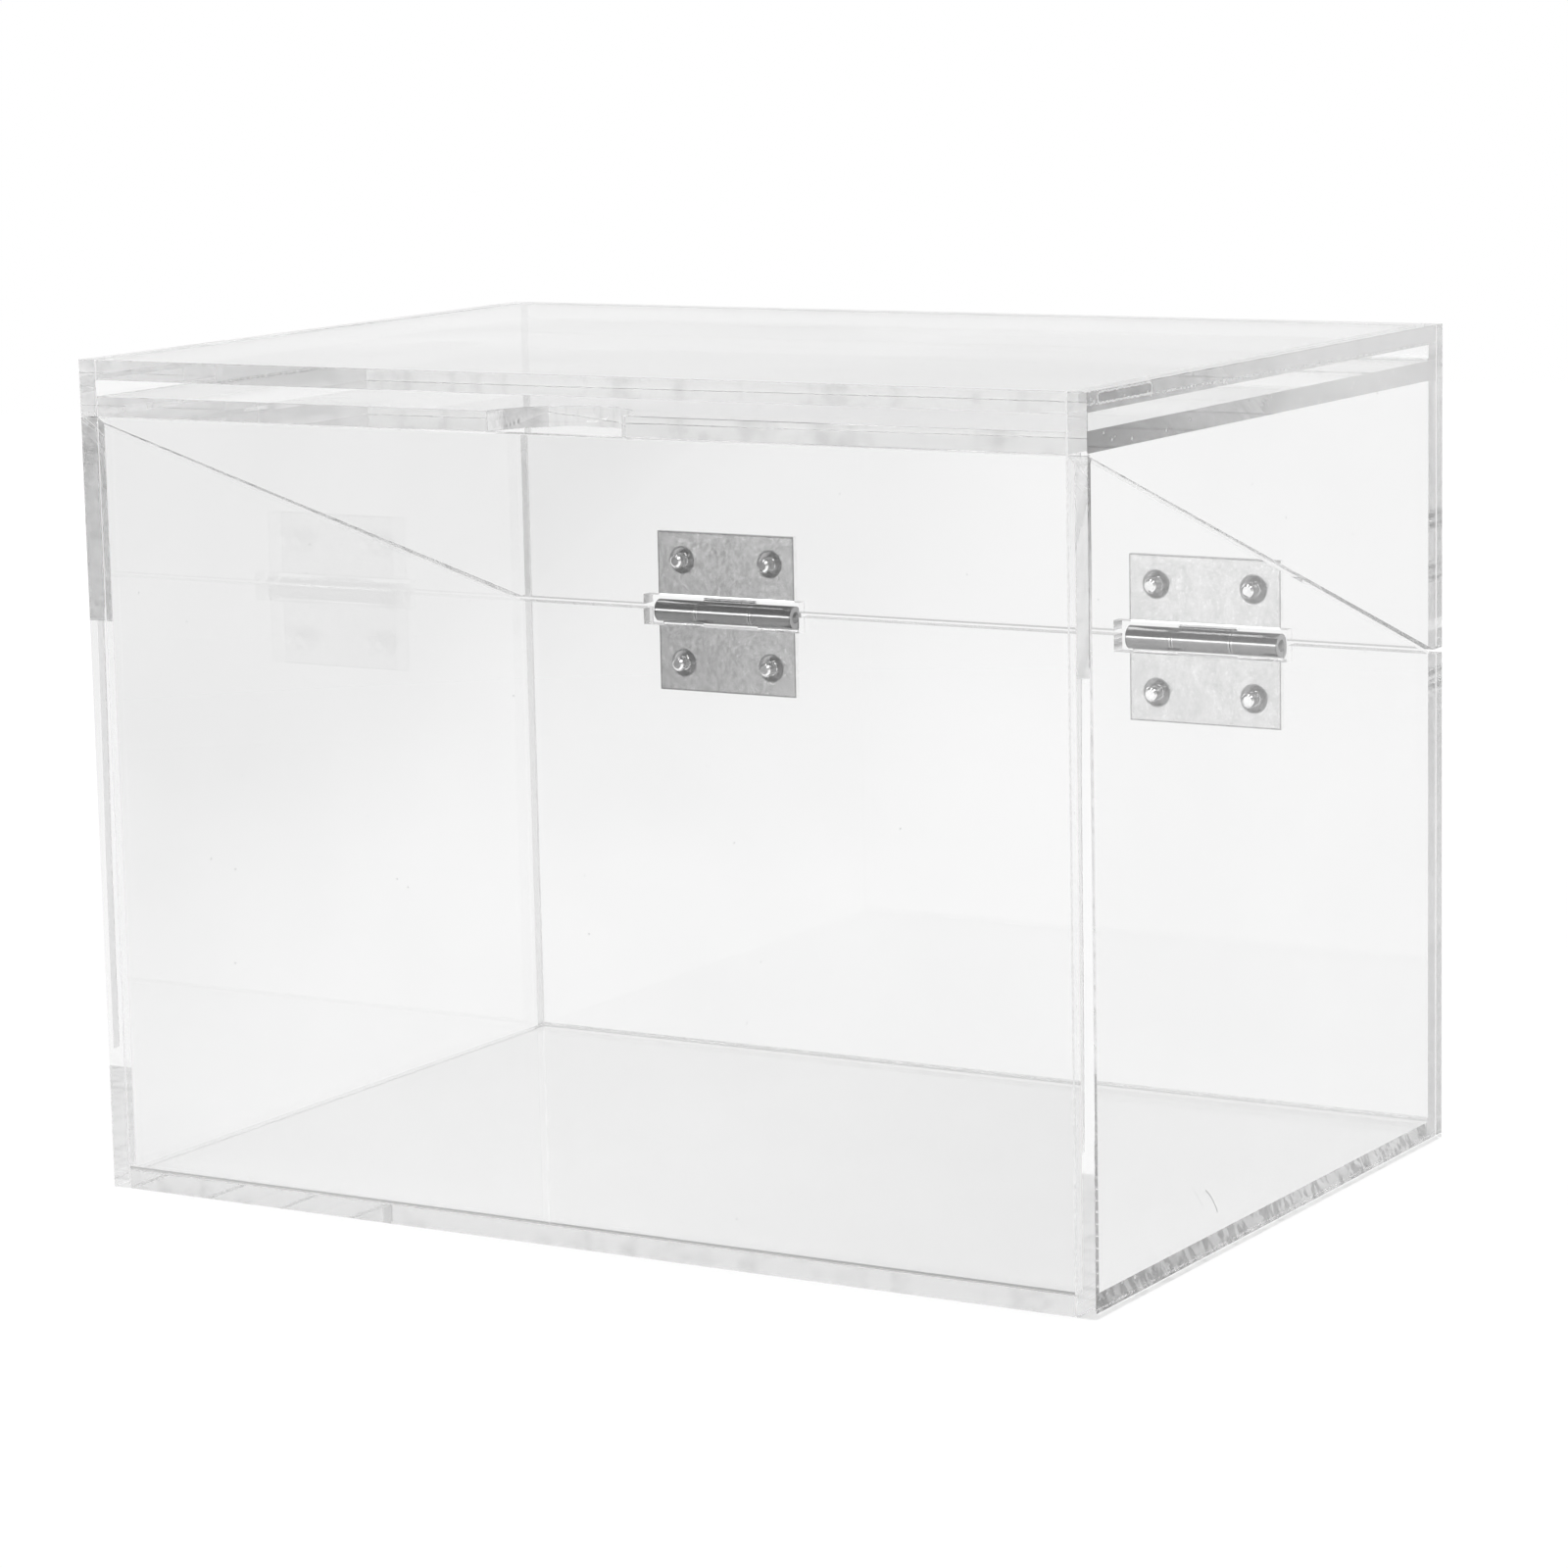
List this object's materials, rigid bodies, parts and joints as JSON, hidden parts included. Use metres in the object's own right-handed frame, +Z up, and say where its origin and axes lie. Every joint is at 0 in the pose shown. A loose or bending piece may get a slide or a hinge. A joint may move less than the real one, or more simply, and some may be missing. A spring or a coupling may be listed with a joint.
{
  "type": "desk organizer box",
  "caption": "Clear sheet box with a slant-cut lid on small butt hinges at the back, and a card slot with a thumb notch under its top sheet.",
  "frame": {"origin": "middle of the underside of the acrylic box", "axes": "+X across the box, to the right seen from the front; +Y from the front to the back, where the hinges are; +Z up"},
  "size_m": [0.18, 0.1273, 0.135],
  "materials": {
    "acrylic": "clear, polished faces and sawn edges",
    "hinge_steel": "satin, plated",
    "screw_steel": "bright"
  },
  "bodies": {
    "base": {"floor_panel": "acrylic", "front_panel": "acrylic", "base_back_panel": "acrylic", "base_left_panel": "acrylic", "base_right_panel": "acrylic", "left_hinge_lower_leaf": "hinge_steel", "right_hinge_lower_leaf": "hinge_steel", "left_hinge_pin": "hinge_steel", "right_hinge_pin": "hinge_steel", "left_hinge_lower_screws": "screw_steel", "right_hinge_lower_screws": "screw_steel"},
    "lid": {"top_panel": "acrylic", "card_shelf": "acrylic", "slot_spacer": "acrylic", "lid_back_panel": "acrylic", "lid_left_panel": "acrylic", "lid_right_panel": "acrylic", "left_hinge_upper_leaf": "hinge_steel", "right_hinge_upper_leaf": "hinge_steel", "left_hinge_upper_screws": "screw_steel", "right_hinge_upper_screws": "screw_steel"}
  },
  "joints": [
    {"name": "lid_hinge", "type": "hinge", "parent": "base", "child": "lid", "pos_m": [0, 0.0615, 0.081], "axis": [-1, 0, 0], "range_deg": [0, 95]}
  ]
}
